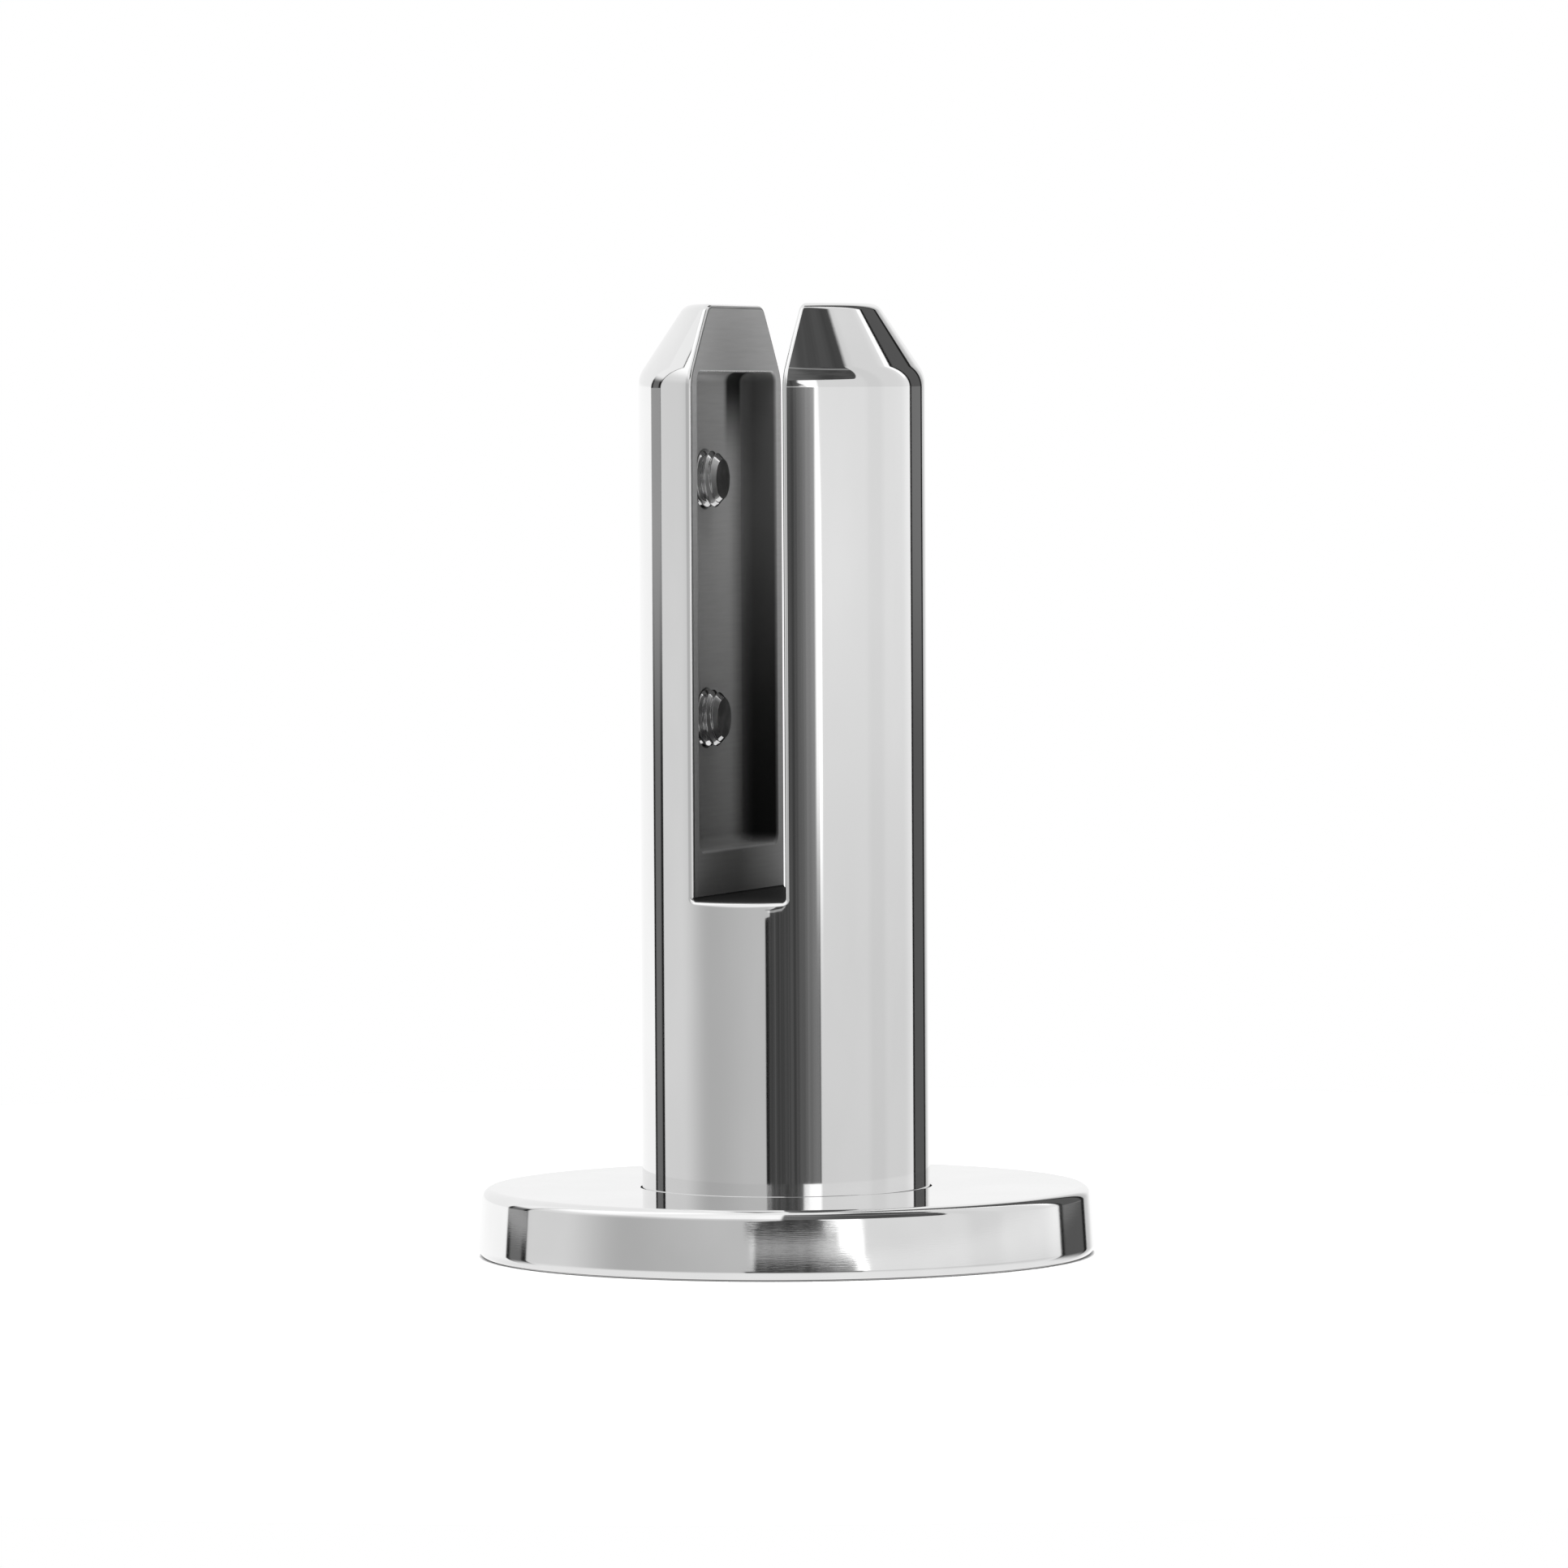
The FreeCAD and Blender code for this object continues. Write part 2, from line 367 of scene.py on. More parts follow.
def tapped_hole(skin, block, hole_z):
    """Outside round one tapped hole, its broken mouth, its thread and its edge at the pocket."""
    rim = np.concatenate([block[0, :-1], block[:-1, -1], block[-1, :0:-1], block[:0:-1, 0]])
    rim = np.concatenate([rim, rim[:1]])
    flat = rim[:, 1:] - (0, hole_z)
    turns = np.arctan2(flat[:, 1], flat[:, 0])
    circle = np.stack([np.cos(turns), np.sin(turns)], -1)

    def on_post(offsets):
        y, z = offsets[..., 0], offsets[..., 1] + hole_z
        x = -np.sqrt(POST_R ** 2 - y ** 2)
        return np.stack([x, y, z], -1), np.stack([x, y, 0 * y], -1) / POST_R

    def ring(x, r):
        return np.stack([0 * turns + x, r * circle[:, 0], r * circle[:, 1] + hole_z], -1)

    mouth = circle * (HOLE_R + HOLE_LIP)
    share = np.linspace(0, 1, ROUND_STEPS + 1)[:, None, None]
    points, normals = on_post(flat + (mouth - flat) * share)
    skin.grid(points, normals)

    lip, lip_normals = points[-1], normals[-1]
    inward = np.concatenate([0 * turns[:, None], -circle], axis=1)
    lip_turn = arc_between(lip_normals, inward, ROUND_STEPS).transpose(1, 0, 2)
    lip_centre = lip - lip_normals * HOLE_LIP
    throat = lip_centre + lip_turn * HOLE_LIP
    skin.grid(throat, lip_turn)

    floor_x = -SLOT_HALF - POCKET_DEPTH
    start = throat[-1][:, 0]
    bore_r = np.hypot(throat[-1][:, 1], throat[-1][:, 2] - hole_z)
    end = floor_x - HOLE_LIP
    rows = np.linspace(0, 1, GROOVE_ROWS + 1)[:, None]
    x = start + (end - start) * rows
    form = 1 - thread_form((x - end) / THREAD_PITCH + turns / (2 * math.pi))
    fade = np.clip(np.minimum(rows, 1 - rows) * GROOVE_FADE, 0, 1)
    bore = bore_r + (HOLE_R - bore_r) * np.clip(rows * GROOVE_FADE, 0, 1)
    points = ring(x, bore + GROOVE_DEPTH * form * fade)
    points[0] = throat[-1]
    skin.grid(points, surface_normals(points, inward), finish=SATIN)

    last = np.stack([ring(end, HOLE_R), ring(floor_x, HOLE_R + HOLE_LIP)])
    skin.grid(last, unit(inward + RIGHT), finish=SATIN)
    skin.hole_edges.append(last[-1][:-1])


def dark_line(stations, dull_and_dark):
    """Finish across a round whose first stations are coloured dark."""
    return np.where(np.arange(stations) < dull_and_dark, DARKENED, POLISHED)


def slot_edges(skin, side, end):
    """Round up one edge of the slot, with an arris on the screw jaw; returns its inner line."""
    y, z, turn = ball_path()
    lean = JAW_ROWS[:, 2]
    centres = np.stack([0 * y + side * BALL_X, end * y, z], -1)
    outer = np.stack([side * np.cos(lean) * np.cos(turn), end * np.cos(lean) * np.sin(turn),
                      np.sin(lean)], -1)
    inner = np.broadcast_to((-side, 0.0, 0.0), outer.shape)
    sweep = arc_between(inner, outer, ROUND_STEPS)
    points = centres[:, None] + EDGE_R * sweep
    if side > 0:
        skin.grid(points, sweep)
        return points[:, 0]
    arris = ROUND_STEPS // 2
    skin.grid(points[:, :arris + 1], sweep[:, :arris + 1], dark_line(arris + 1, EDGE_DARK_STATIONS))
    skin.grid(points[:, arris:], unit(sweep[:, arris:] + outer[:, None]))
    return points[:, 0]


def slot_root():
    """Stations (x, z, normal x, normal z) over the slot's floor and both roots, left to right."""
    half = SLOT_HALF - SLOT_ROOT_R
    stations = arc_stations((-half, ROOT_Z), SLOT_ROOT_R, 180, 270, ROOT_STEPS, hollow=True)
    across = np.linspace(-half, half, FLOOR_COLUMNS + 1)[1:-1]
    stations += [(x, SLOT_FLOOR_Z, 0.0, 1.0) for x in across]
    stations += arc_stations((half, ROOT_Z), SLOT_ROOT_R, 270, 360, ROOT_STEPS, hollow=True)
    return np.array(stations)


def slot_floor(skin):
    """Slot floor, its roots and rounded ends; returns those ends and its lines on the walls."""
    x, z, nx, nz = slot_root().T
    edge_r = EDGE_R + (FLOOR_EDGE_R - EDGE_R) * (1 - (x / SLOT_HALF) ** 2)
    centre_x, centre_z = x - edge_r * nx, z - edge_r * nz
    reach = np.sqrt((POST_R - edge_r) ** 2 - centre_x ** 2)
    ways = np.linspace(-1, 1, FLOOR_ROWS + 1)
    points = np.stack([x[:, None] + 0 * ways, reach[:, None] * ways, z[:, None] + 0 * ways], -1)
    normals = np.stack([nx, 0 * nx, nz], -1)
    # the floor is left as cast, and coloured dark as painted shade deep in the slot
    skin.grid(points, normals[:, None], finish=DARKENED)
    tip = floor_tip(centre_x)[:, None]
    ends = {}
    for end in (-1, 1):
        outer = np.stack([centre_x, end * reach, 0 * x], -1) / (POST_R - edge_r)[:, None]
        outer = outer * np.cos(tip) + UP * np.sin(tip)
        sweep = arc_between(normals, outer, ROUND_STEPS)
        centres = np.stack([centre_x, end * reach, centre_z], -1)
        round_end = centres[:, None] + edge_r[:, None, None] * sweep
        skin.grid(round_end, sweep, dark_line(ROUND_STEPS + 1, FLOOR_DARK_STATIONS))
        ends[end] = round_end[:, -1]
    return ends, points[0], points[-1]


def floor_tip(x):
    """How far the outside tips up just below the slot: across its floor, not under the jaws."""
    return ROLL_OFF * np.clip((BALL_X - np.abs(x)) / (2 * EDGE_R), 0, 1)


def lower_post(skin, floor_ends):
    """Round outside from the flange to the slot's floor and the jaws' feet; returns its foot."""
    jaw_turns = ball_path()[2][0] * np.linspace(-1, 1, JAW_COLUMNS + 1)[1:-1]
    right_foot = np.array([about_z(POST_R, ROOT_Z, turn) for turn in jaw_turns])
    left_foot = right_foot * (-1, -1, 1)
    front, back = floor_ends[-1], floor_ends[1]
    tops = np.concatenate([front, right_foot, back[::-1], left_foot, front[:1]])
    tips = floor_tip(tops[:, 0]) * (np.abs(tops[:, 1]) > POST_R / 2)
    share = np.sin(np.linspace(0, math.pi / 2, POST_ROWS + 1))[:, None]
    z = FLANGE_T + (tops[:, 2] - FLANGE_T) * share
    ring = unit(tops * (1, 1, 0))
    points = ring * POST_R + z[..., None] * UP
    points[-1] = tops
    tilt = (tips * np.exp((z - tops[:, 2]) / ROLL_OFF_REACH))[..., None]
    skin.grid(points, ring * np.cos(tilt) + UP * np.sin(tilt))
    return points[0][:-1]


def flange(skin, post_foot):
    """Base flange with its countersunk anchor holes."""
    inset = FLANGE_R - FLANGE_EDGE_R
    rim = arc_stations((inset, FLANGE_EDGE_R), FLANGE_EDGE_R, -90, 0)
    rim += arc_stations((inset, FLANGE_T - FLANGE_EDGE_R), FLANGE_EDGE_R, 0, 90)
    points, normals = turned(rim, about_z, TURN_STEPS * 2)
    skin.grid(points, normals)
    top_loops = [points[-1][:-1], post_foot]
    under_loops = [points[0][:-1]]
    sink_z = FLANGE_T - (ANCHOR_SINK_R - ANCHOR_HOLE_R)
    bore = straight((ANCHOR_HOLE_R, sink_z), (ANCHOR_HOLE_R, 0))
    sink = straight((ANCHOR_SINK_R, FLANGE_T), (ANCHOR_HOLE_R, sink_z))
    for i in range(ANCHORS):
        turn = ANCHOR_FIRST_TURN + 2 * math.pi * i / ANCHORS
        shift = ANCHOR_CIRCLE_R * about_z(1, 0, turn)
        for stations in (sink, bore):
            points, normals = turned(stations, about_z, TURN_STEPS)
            skin.grid(points + shift, normals, finish=SATIN)
            if stations is sink:
                top_loops.append((points + shift)[0][:-1])
            else:
                under_loops.append((points + shift)[-1][:-1])
    skin.fill(top_loops, UP)
    skin.fill(under_loops, -UP, finish=SATIN)


def pocket_line(inset):
    """Rounded rectangle of the pocket in Y and Z, moved in by inset, and its outward normals."""
    middle = (POCKET_Z0 + POCKET_Z1) / 2
    half_y = POCKET_HALF_W - POCKET_R
    half_z = (POCKET_Z1 - POCKET_Z0) / 2 - POCKET_R
    arcs = []
    for quarter, (sy, sz) in enumerate(((1, 1), (-1, 1), (-1, -1), (1, -1))):
        angles = np.radians(np.linspace(0, 90, CORNER_STEPS + 1) + 90 * quarter)
        out = np.stack([np.cos(angles), np.sin(angles)], -1)
        centre = np.array([sy * half_y, middle + sz * half_z])
        arcs.append((centre + out * (POCKET_R - inset), out))
    points, normals = [], []
    for (arc, out), (following, _) in zip(arcs, arcs[1:] + arcs[:1]):
        side = np.linspace(arc[-1], following[0], SIDE_STEPS + 1)[1:-1]
        points += [arc, side]
        normals += [out, np.broadcast_to(out[-1], side.shape)]
    first_arc, first_out = arcs[0]
    return np.concatenate(points + [first_arc[:1]]), np.concatenate(normals + [first_out[:1]])


def pocket(skin):
    """Pocket in the screw jaw: round lip, side wall, round floor; returns its line on the wall."""
    quarter = np.linspace(0, math.pi / 2, ROUND_STEPS + 1)
    stations = [(-POCKET_LIP_R * (1 - math.sin(t)), POCKET_LIP_R * (1 - math.cos(t)),
                 math.cos(t), math.sin(t)) for t in quarter]
    wall = POCKET_DEPTH - POCKET_R
    quarter = np.linspace(0, math.pi / 2, 2 * ROUND_STEPS + 1)
    stations += [(POCKET_R * (1 - math.cos(t)), wall + POCKET_R * math.sin(t),
                  math.sin(t), math.cos(t)) for t in quarter]
    rings, facings, finishes = [], [], []
    for inset, depth, across, inwards in stations:
        line, out = pocket_line(inset)
        rings.append(np.column_stack([np.full(len(line), -SLOT_HALF - depth), line]))
        facings.append(np.column_stack([np.full(len(line), across), -inwards * out]))
        # painted highlight along the pocket's lip, brightest along its top
        lip_highlight = LIP_PAINTED_HIGHLIGHT * across * inwards * (1 + out[:, 1]) * (depth < POCKET_LIP_R)
        # painted shade on the pocket's two side walls, fading towards the lip and the floor
        dark = (DARKENED - SATIN) * inwards ** SIDE_SHADE_SPREAD * np.abs(out[:, 0])
        finishes.append(SATIN - lip_highlight + dark)
    skin.grid(np.array(rings), np.array(facings), np.array(finishes))
    line = rings[-1][:-1]
    floor = line[np.linalg.norm(line - np.roll(line, 1, axis=0), axis=1) > SLIVER]
    skin.fill([floor] + skin.hole_edges, RIGHT, finish=SATIN)
    return rings[0][:-1]


def spigot_body():
    """The casting: flange, post, slot and both jaws."""
    skin = Skin()
    floor_ends, left_foot, right_foot = slot_floor(skin)
    flange(skin, lower_post(skin, floor_ends))
    for side, foot in ((-1, left_foot), (1, right_foot)):
        jaw_outside(skin, side)
        front = slot_edges(skin, side, -1)
        back = slot_edges(skin, side, 1)
        wall = [np.concatenate([front, back[-2::-1], foot[-2:0:-1]])]
        if side < 0:
            wall.append(pocket(skin))
        skin.fill(wall, -side * RIGHT, finish=SATIN)
    return skin.build("cast_spigot")


def cover_ring():
    """Cover ring: flat top, round edges and a skirt that leans out to a rolled foot."""
    lean = math.degrees(math.atan2(COVER_FOOT_R - COVER_TOP_R, COVER_TOP))
    slope = math.tan(math.radians(lean))
    edge_r = COVER_TOP_R - COVER_EDGE_R * math.tan(math.radians(45 - lean / 2))
    edge_z = COVER_TOP - COVER_EDGE_R
    lip_r = COVER_FOOT_R - (COVER_LIP_R / math.cos(math.radians(lean)) + COVER_LIP_R * slope)
    inner_r = COVER_TOP_R - COVER_T
    under = COVER_TOP - COVER_T
    hole_r = COVER_HOLE_R + COVER_HOLE_EDGE_R
    steps = 2 * ROUND_STEPS
    section = arc_stations((hole_r, COVER_TOP - COVER_HOLE_EDGE_R), COVER_HOLE_EDGE_R, 180, 90)
    section += arc_stations((edge_r, edge_z), COVER_EDGE_R, 90, lean + SKIRT_CROWN, steps)
    skirt = [len(section) - 1, len(section)]
    section += arc_stations((lip_r, COVER_LIP_R), COVER_LIP_R, lean - SKIRT_CROWN, -90, steps)
    section += [(inner_r, 0.0, 0.0, -1.0), (inner_r, 0.0, -1.0, 0.0)]
    section += [(inner_r, under, -1.0, 0.0), (inner_r, under, 0.0, -1.0)]
    section += arc_stations((hole_r, under + COVER_HOLE_EDGE_R), COVER_HOLE_EDGE_R, 270, 180)
    section.append(section[0])
    finish = np.full(len(section), POLISHED)
    finish[skirt] = SATIN
    # painted shade round the foot, where the cover meets the floor
    finish[[h < COVER_LIP_R and nh < FOOT_SHADE for _, h, _, nh in section]] = DARKENED
    skin = Skin()
    skin.grid(*turned(section, about_z), finish[:, None])
    return skin.build("dished_cover")


def set_screw(node):
    """Threaded set screw with a flat point, a chamfer at each end and a hex socket."""
    low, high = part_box(node)
    start, tip, centre_z = low.x / MM, high.x / MM, SCREW_Z[node]
    turns = np.linspace(0, 2 * math.pi, TURN_STEPS + 1)
    turns[-1] = 0.0
    x = np.linspace(start, tip, SCREW_ROWS + 1)[:, None]
    screwed = thread_form((x - start) / THREAD_PITCH - np.linspace(0, 1, TURN_STEPS + 1))
    r = SCREW_R - THREAD_DEPTH * (1 - screwed)
    r = np.minimum(r, TIP_R + (SCREW_R - TIP_R) * (tip - x) / TIP_CHAMFER)
    r = np.minimum(r, SCREW_R - END_CHAMFER + (x - start))
    skin = Skin()
    outwards = np.array([about_x(1, 0, t) for t in turns])
    points = np.stack([x + 0 * r, r * np.cos(turns), r * np.sin(turns) + centre_z], -1)
    skin.grid(points, surface_normals(points, outwards))
    # the point is coloured dark: a painted reflection of the jaw across the slot
    skin.fill([points[-1][:-1]], RIGHT, finish=SATIN)
    corner_r = SOCKET_FLATS / math.sqrt(3)
    corner_turns = [2 * math.pi / SOCKET_SIDES * i for i in range(SOCKET_SIDES + 1)]
    hexagon = np.array([about_x(corner_r, start, t) for t in corner_turns]) + UP * centre_z
    floor = hexagon + SOCKET_DEPTH * RIGHT
    skin.fill([points[0][:-1], hexagon[:-1]], -RIGHT)
    # the socket's floor and sides are coloured dark: painted shade inside it
    skin.fill([floor[:-1]], -RIGHT, finish=SATIN)
    for i in range(SOCKET_SIDES):
        middle = UP * centre_z - (hexagon[i] + hexagon[i + 1]) / 2
        side = np.array([[hexagon[i], hexagon[i + 1]], [floor[i], floor[i + 1]]])
        skin.grid(side, unit(middle * (0, 1, 1)), finish=SATIN)
    return skin.build("threaded_" + node)


class Wire:
    """A value on its way through a node tree: arithmetic on it adds Math nodes."""

    def __init__(self, tree, socket=None):
        self.tree = tree
        self.socket = socket

    def node(self, kind, settings, sockets, out=0):
        """Adds a node: its settings first, then the values or links of its sockets."""
        made = self.tree.nodes.new("ShaderNode" + kind)
        for name, value in settings.items():
            setattr(made, name, value)
        for name, value in sockets.items():
            if isinstance(value, Wire):
                self.tree.links.new(value.socket, made.inputs[name])
            else:
                made.inputs[name].default_value = value
        return Wire(self.tree, made.outputs[out] if made.outputs else None)

    def math(self, operation, *values):
        return self.node("Math", {"operation": operation}, dict(enumerate(values)))

    def __add__(self, other):
        return self.math("ADD", self, other)

    def __sub__(self, other):
        return self.math("SUBTRACT", self, other)

    def __rsub__(self, other):
        return self.math("SUBTRACT", other, self)

    def __mul__(self, other):
        return self.math("MULTIPLY", self, other)

    __radd__ = __add__
    __rmul__ = __mul__

    def at_most(self, limit):
        return self.math("MINIMUM", self, limit)

    def at_least(self, limit):
        return self.math("MAXIMUM", self, limit)

    def under(self, mask, other):
        """This value, with the other in its place where the mask is 1."""
        return self * (1 - mask) + mask * other

    def step(self, low, high):
        """0 below low, 1 above high, and a smooth climb between them."""
        return self.node("MapRange", {"interpolation_type": "SMOOTHSTEP"},
                         {"Value": self, "From Min": low, "From Max": high})

    def band(self, low, high, soft):
        """1 between low and high, with edges that fade over soft."""
        rising = self.step(low - soft / 2, low + soft / 2)
        falling = self.step(high - soft / 2, high + soft / 2)
        return rising * (1 - falling)

    def noise(self, scale, detail=2.0, roughness=0.5):
        """Noise between 0 and 1 over this vector."""
        return self.node("TexNoise", {}, {"Vector": self, "Scale": scale, "Detail": detail,
                                          "Roughness": roughness})

    def stretched(self, x, y, z):
        """This vector with each axis scaled."""
        return self.node("VectorMath", {"operation": "MULTIPLY"}, {0: self, 1: (x, y, z)})

    def axes(self):
        """The three numbers of this vector."""
        split = self.node("SeparateXYZ", {}, {0: self}).socket.node
        return [Wire(self.tree, output) for output in split.outputs]

    def vector(self, x, y, z=0.0):
        """A vector of three numbers."""
        return self.node("CombineXYZ", {}, {"X": x, "Y": y, "Z": z})

    def grey(self):
        """Grey of this brightness."""
        return self.node("CombineColor", {}, {0: self, 1: self, 2: self})

    def colour_mix(self, first, last):
        """Colour between two others."""
        return self.node("Mix", {"data_type": "RGBA"}, {0: self, 6: first, 7: last}, out=2)

    def grey_mix(self, dark, light):
        """Colour between two greys."""
        return self.colour_mix((dark, dark, dark, 1), (light, light, light, 1))

    def face_finish(self):
        """How each face was finished, and where it is coloured dark, as its mesh says."""
        return self.node("Attribute", {"attribute_name": FINISH}, {}, out="Fac")


def new_material(name):
    """Empty material, a wire to add its nodes with, and each point's place on its piece."""
    made = bpy.data.materials.new(name)
    made.use_nodes = True
    made.node_tree.nodes.clear()
    start = Wire(made.node_tree)
    return made, start, start.node("TexCoord", {}, {}, out="Object")


def finish_metal(start, colour, roughness, height, bump_distance, metallic=1.0):
    """Metal surface from its varying colour, roughness and height."""
    bump = start.node("Bump", {}, {"Height": height, "Strength": 1.0, "Distance": bump_distance})
    metal = start.node("BsdfPrincipled", {}, {"Base Color": colour, "Metallic": metallic,
                                              "Roughness": roughness, "Specular IOR Level": 0.0,
                                              "Normal": bump})
    start.node("OutputMaterial", {}, {"Surface": metal})


# Painted shade in the upper far corner of the pocket, in millimetres
CORNER_SHADE_X = (-12.5, -11.5)    # only deeper than this
CORNER_SHADE_Y = (10.5, 19)
CORNER_SHADE_SOFT = 3              # how softly it fades along the glass
CORNER_SHADE_Z = (139, 156)        # it grows darker upwards
CORNER_SHADE_WAVER = 6
WALL_SHADE_Z = (60, 165)          # painted shade: the slot's walls are coloured lighter upwards


def polished_steel():
    """Mirror-polished casting with faint lengthwise lines; matt where only machined or left as a
    casting, and coloured dark as painted shade down the slot, in the pocket and on the slot's
    floor.
    """
    made, start, place = new_material("polished_stainless")
    finish = start.face_finish()
    dull_and_dark = finish.at_most(1.0)
    lines = place.stretched(1, 1, 0.012).noise(900, 3.0)
    grain = place.noise(2600, 2.0)
    clouds = place.stretched(1, 1, 0.3).noise(60, 3.0)
    waves = place.stretched(1, 1, 0.6).noise(45, 1.0)
    mill = place.stretched(1, 0.05, 1).noise(1800, 3.0)
    x, y, z = place.stretched(1 / MM, 1 / MM, 1 / MM).axes()
    # scale: painted shade in the pocket's upper far corner, darker upwards
    scale = (1 - x.step(*CORNER_SHADE_X)) * y.band(*CORNER_SHADE_Y, CORNER_SHADE_SOFT)
    scale = scale * (z + CORNER_SHADE_WAVER * clouds).step(*CORNER_SHADE_Z)
    # faces coloured dark, mostly as painted shade, together with the painted shade in the pocket's
    # corner
    darkened_mask = (finish - 1).at_least(0.0).at_least(scale)
    # painted shade: the slot's satin walls and its dark faces are coloured darker lower down
    painted_light_up = z.step(*WALL_SHADE_Z)
    satin = (0.27 + 0.27 * painted_light_up) * (0.9 + 0.2 * mill)
    # the dark faces' tone: painted shade that lightens upwards
    dark_tone = 0.02 + 0.34 * painted_light_up * painted_light_up * clouds
    machined = satin.under(darkened_mask, dark_tone * (1 - 0.8 * scale))
    mirror = clouds.step(0.35, 0.75).grey_mix(0.81, 0.86)
    colour = dull_and_dark.colour_mix(mirror, machined.grey())
    roughness = (0.02 + 0.03 * clouds + 0.02 * lines).under(dull_and_dark, 0.42 + 0.12 * grain)
    height = (lines * 0.1 + waves * 2.0).under(dull_and_dark, grain * 0.5 + mill * 0.8)
    metallic = 1 - 0.4 * dull_and_dark - 0.5 * darkened_mask * dull_and_dark
    finish_metal(start, colour, roughness, height, 0.01 * MM, metallic)
    return made


def polished_cover():
    """Polished cover ring; fine brushed lines on its skirt and a dark line of painted shade round
    its foot.
    """
    made, start, place = new_material("polished_cover")
    finish = start.face_finish()
    brushed = finish.at_most(1.0)
    shade = (finish - 1).at_least(0.0)
    x, y, z = place.axes()
    around = start.math("ARCTAN2", y, x)
    out = start.math("SQRT", x * x + y * y)
    lines = start.vector(out, 0.0, z).noise(1500, 3.0)
    strokes = start.vector(around * 1.5, 0.0, z * 700).noise(9, 3.0, 0.6)
    clouds = place.noise(45, 3.0)
    tone = (0.82 + 0.06 * clouds.step(0.35, 0.75)) * (1 - 0.93 * shade)
    roughness = 0.03 + 0.03 * clouds + 0.03 * lines
    height = lines.under(brushed, strokes * 1.5)
    finish_metal(start, tone.grey(), roughness, height, 0.002 * MM)
    return made


def screw_steel():
    """Bright rolled steel of the set screws, coloured dark on the point as a painted reflection and
    in the socket as painted shade.
    """
    made, start, place = new_material("screw_steel")
    dull_and_dark = start.face_finish()
    grain = place.noise(2200, 3.0)
    clouds = place.noise(300, 2.0)
    patches = clouds.step(0.3, 0.7)
    # dark point and socket: painted reflection on the point, painted shade in the socket
    colour = dull_and_dark.colour_mix(patches.grey_mix(0.62, 0.8), patches.grey_mix(0.06, 0.14))
    roughness = 0.06 + 0.08 * grain + 0.25 * dull_and_dark
    finish_metal(start, colour, roughness, grain, 0.004 * MM)
    return made


# Camera: the photograph's own viewing angle, in metres

IMAGE_SIZE = 1932
FOCAL_PIXELS = 11350
SENSOR_WIDTH = 36.0
CAMERA_AZIMUTH = math.radians(19.71)
CAMERA_DISTANCE = 1.623
CAMERA_HEIGHT = 0.1469
CAMERA_PITCH = math.radians(2.255)
CAMERA_ROLL = math.radians(-0.322)


def camera():
    """Long lens that looks slightly down on the spigot."""
    data = bpy.data.cameras.new("camera")
    data.sensor_width = SENSOR_WIDTH
    data.lens = SENSOR_WIDTH * FOCAL_PIXELS / IMAGE_SIZE
    made = bpy.data.objects.new("camera", data)
    aside, nearer = math.sin(CAMERA_AZIMUTH), -math.cos(CAMERA_AZIMUTH)
    made.location = (CAMERA_DISTANCE * aside, CAMERA_DISTANCE * nearer, CAMERA_HEIGHT)
    level = math.cos(CAMERA_PITCH)
    towards = Vector((-aside * level, -nearer * level, -math.sin(CAMERA_PITCH)))
    made.rotation_mode = "QUATERNION"
    made.rotation_quaternion = towards.to_track_quat("-Z", "Y") @ Quaternion((0, 0, 1), CAMERA_ROLL)
    bpy.context.scene.collection.objects.link(made)
    bpy.context.scene.camera = made


# Studio: turn is degrees round from the camera to the right, and rise is degrees up from level


def left_panel(turn, rise, high):
    """Wide panel on the left, dimmer in its middle; its near edge leans forward higher up."""
    lean = (rise.at_most(16.0) * 0.85).at_least(3.6 * rise.step(-2.4, -1.4))
    lean = lean * (1 - rise.band(4.4, 5.4, 0.6))
    tone = 0.73 - 0.25 * turn.step(-92, -62) + 0.07 * turn.step(-60, -20)
    tone = tone + 0.1 * high + 0.4 * rise.step(20, 40)
    return turn.step(-114, -113) * (1 - (turn - lean).step(-16, -15)) * tone


def right_panel(turn, rise, high):
    """Wide panel on the right, brightest at its far edge."""
    tone = 0.70 + 0.17 * rise.step(-5, -0.5) - 0.08 * rise.step(0.5, 2)
    tone = tone - 0.05 * turn.band(72, 88, 8) + 0.12 * turn.step(110, 123)
    tone = tone + 0.4 * turn.band(119, 124, 2) * high
    return turn.band(28.5, 124, 1) * tone


def bright_slit(turn, rise):
    """White strip along the right panel's near edge, wider above level."""
    opening = turn + 6 * rise.step(0.3, 2.4) + 7 * rise.step(2, 16) + 5 * rise.band(4.3, 6, 0.8)
    closing = turn + 2.2 * rise.step(-0.7, 0.1)
    return opening.step(24.5, 27) * (1 - closing.step(30, 31.5)) * rise.step(-3.4, -2.0)


def side_gaps(turn, rise, high):
    """Dim gaps beyond the far edges of both panels, lighter near level."""
    calm = rise.step(-2.2, -0.6) * (1 - rise.step(0.6, 1.6))
    left = turn.band(-126, -117, 2.5) * 0.15 * (1 - calm) * (1 - high)
    left = left + turn.band(-129, -114, 1) * 0.34 * calm + turn.band(-129, -114.5, 1) * high
    right = turn.band(127, 147, 2) * (0.09 + 0.08 * calm)
    return left + right


def front_gap(start, turn, rise):
    """Dark gap round the camera, with upright streaks, and a faint glow just above level."""
    streaks = start.vector(turn, rise * 0.04).noise(0.3, 5.0, 0.7).step(0.3, 0.75)
    dim = 0.02 + 0.08 * streaks + (0.14 + 0.14 * rise.step(-4, -1)) * turn.step(6, 28)
    glow = rise.step(0.2, 1.2) * (1 - rise.step(3, 4.2)) * (0.3 + 0.3 * turn.step(6, 20))
    return turn.band(-13, 28, 3) * (dim + glow)


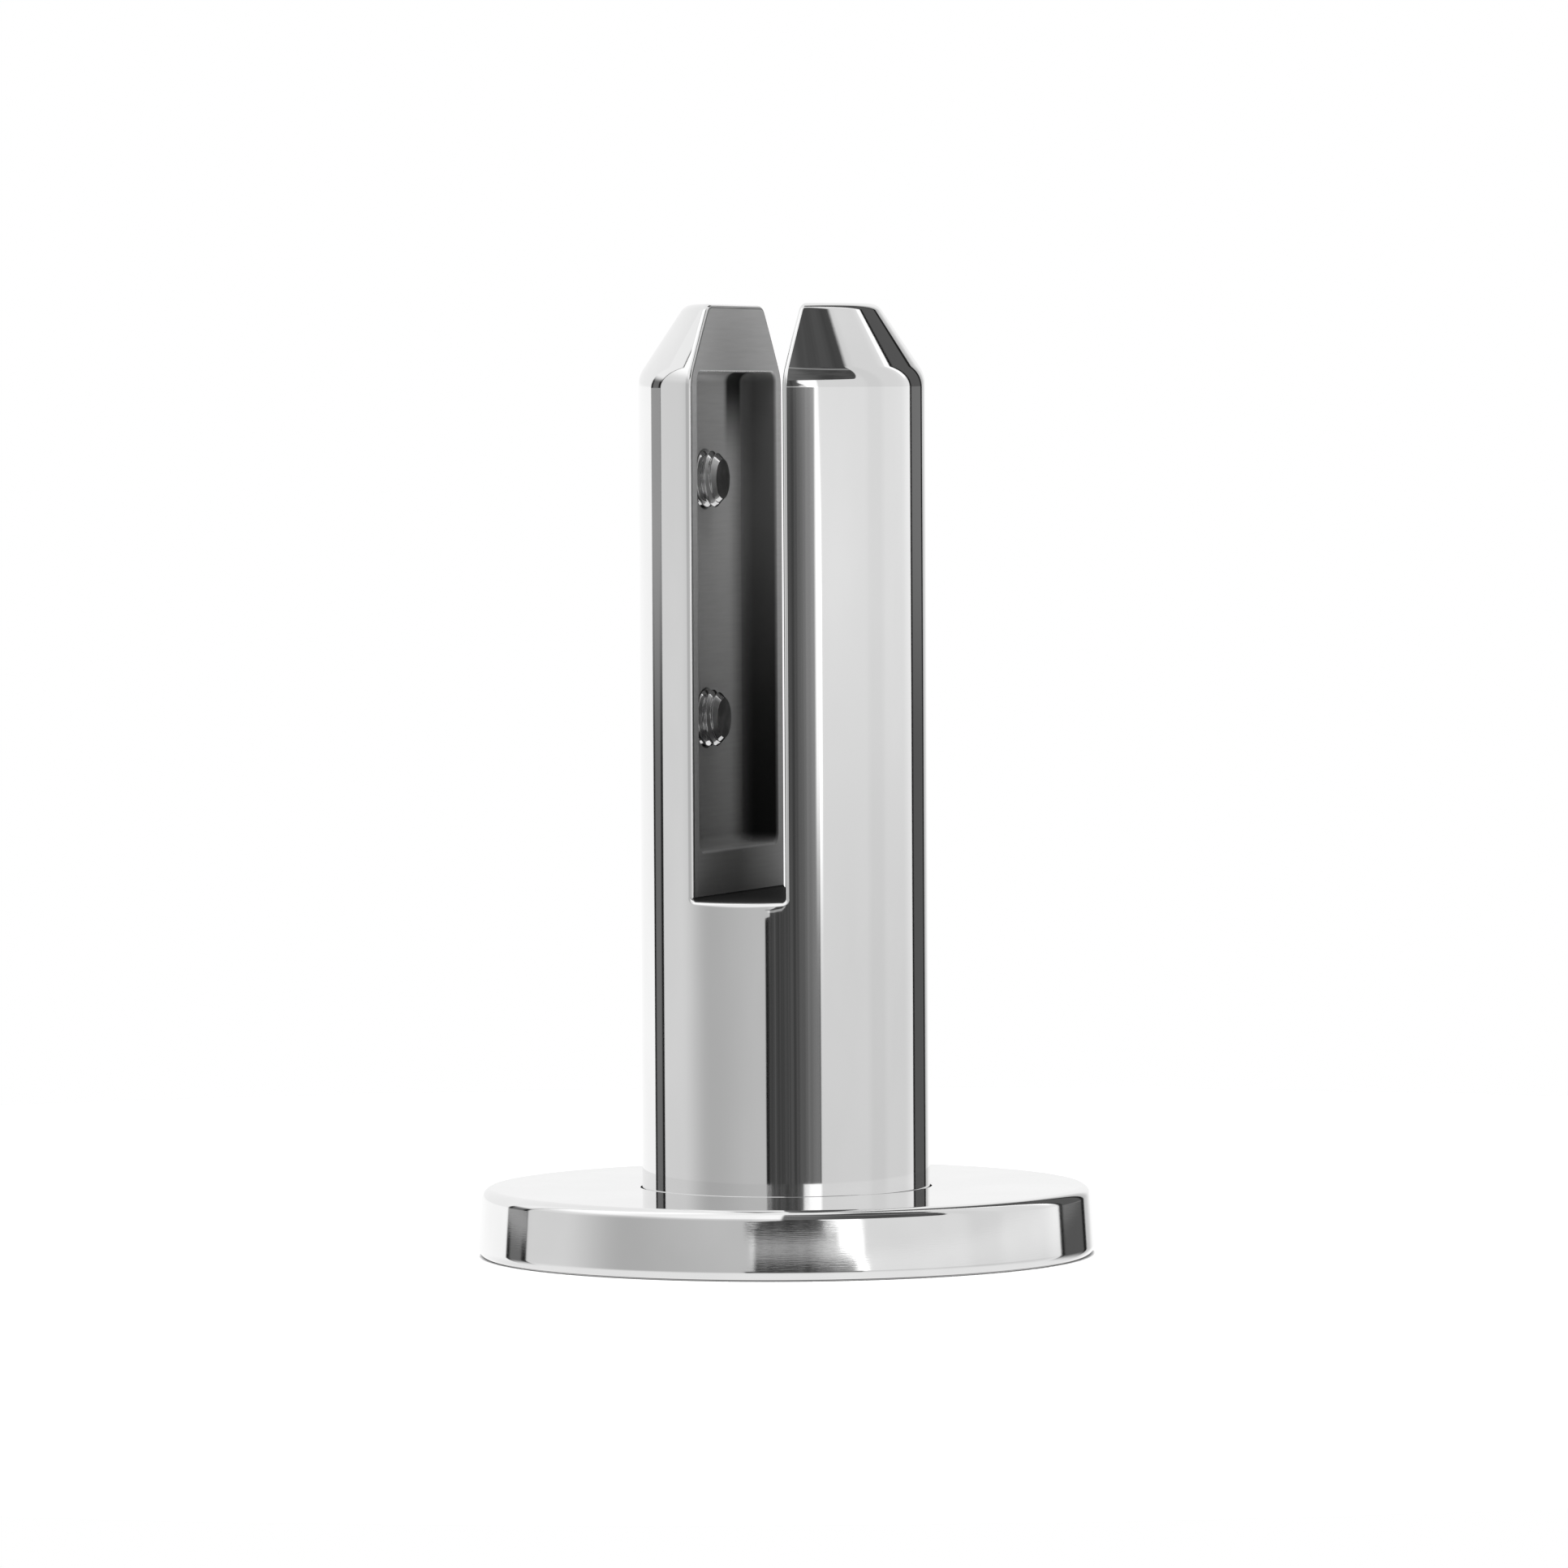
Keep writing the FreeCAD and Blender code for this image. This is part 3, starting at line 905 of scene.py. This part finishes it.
def back_wall(turn, rise):
    """White wall behind the spigot, on both sides."""
    right = turn.step(150.5, 152) * (0.6 + 0.45 * turn.step(153, 165))
    left = (1 - turn.step(-129.5, -128.5)) * 1.05
    return (right + left) * (1 - 0.1 * rise.step(1, 4))


def studio_light(start, turn, rise):
    """How bright the studio is in a direction."""
    high = rise.step(10, 20)
    light = left_panel(turn, rise, high) + right_panel(turn, rise, high) + bright_slit(turn, rise)
    light = light + side_gaps(turn, rise, high) + front_gap(start, turn, rise)
    light = light + back_wall(turn, rise) + 0.012
    # Dark ceiling at the front and right, with one beam across it
    brow = rise - 33 * turn.step(62, 80) - 60 * turn.step(84, 100)
    ceiling = turn.band(-1, 100, 3) * brow.step(21, 23)
    mottle = start.vector(turn, rise * 2).noise(0.06, 3.0).step(0.3, 0.7)
    beam = (rise + 0.25 * turn).band(64, 68.5, 2)
    dusk = 0.14 - 0.08 * turn.step(0, 40) + 0.03 * mottle + 0.2 * beam
    light = light.under(ceiling, dusk)
    # White lamp straight overhead, and the white table below
    light = light.under(rise.step(72, 80), 0.95)
    return light.under(1 - rise.step(-28, -5.5), 0.9)


def studio():
    """Soft panels round the spigot, seen only in its reflections, before a white backdrop."""
    world = bpy.data.worlds.new("studio")
    bpy.context.scene.world = world
    world.use_nodes = True
    world.node_tree.nodes.clear()
    start = Wire(world.node_tree)
    x, y, z = start.node("TexCoord", {}, {}, out="Generated").axes()
    across = x * math.cos(CAMERA_AZIMUTH) + y * math.sin(CAMERA_AZIMUTH)
    nearer = x * math.sin(CAMERA_AZIMUTH) - y * math.cos(CAMERA_AZIMUTH)
    turn = start.math("ARCTAN2", across, nearer) * math.degrees(1)
    rise = start.math("ARCSINE", z) * math.degrees(1)
    seen = start.node("LightPath", {}, {}, out="Is Camera Ray")
    level = studio_light(start, turn, rise).under(seen, 1.0)
    backdrop = start.node("Background", {}, {"Color": (1, 1, 1, 1), "Strength": level})
    start.node("OutputWorld", {}, {"Surface": backdrop})
    bpy.context.scene.view_settings.view_transform = "Standard"


# Lamp over the table, in metres and watts
LAMP_SIZE = 1.2
LAMP_HEIGHT = 1.2
LAMP_POWER = 26.0


def pale_floor():
    """Round white table top under the spigot, and the soft lamp above it."""
    made, start, place = new_material("pale_floor")
    colour = place.noise(40, 2.0).grey_mix(0.88, 0.9)
    matt = start.node("BsdfPrincipled", {}, {"Base Color": colour, "Roughness": 0.8,
                                             "Specular IOR Level": 0.0})
    start.node("OutputMaterial", {}, {"Surface": matt})
    skin = Skin()
    turns = np.linspace(0, 2 * math.pi, TABLE_STEPS + 1)[:-1]
    skin.fill([np.array([about_z(FLOOR_R, 0.0, t) for t in turns])], UP)
    floor = skin.build("floor")
    floor.data.materials.append(made)
    floor.visible_glossy = False
    data = bpy.data.lights.new("overhead", "AREA")
    data.shape = "DISK"
    data.size = LAMP_SIZE
    data.energy = LAMP_POWER
    lamp = bpy.data.objects.new("overhead", data)
    lamp.location = (0, 0, LAMP_HEIGHT)
    lamp.visible_glossy = False
    bpy.context.scene.collection.objects.link(lamp)


def dress(piece, body, node, material):
    """Puts a finished piece in the place of its node, on the node's body."""
    piece.data.materials.append(material)
    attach(piece, body)
    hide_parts(node)


dress(spigot_body(), "spigot", "spigot_body", polished_steel())
dress(cover_ring(), "cover", "cover_ring", polished_cover())
steel = screw_steel()
for body, node in (("lower_screw", "lower_set_screw"), ("upper_screw", "upper_set_screw")):
    dress(set_screw(node), body, node, steel)
camera()
studio()
pale_floor()
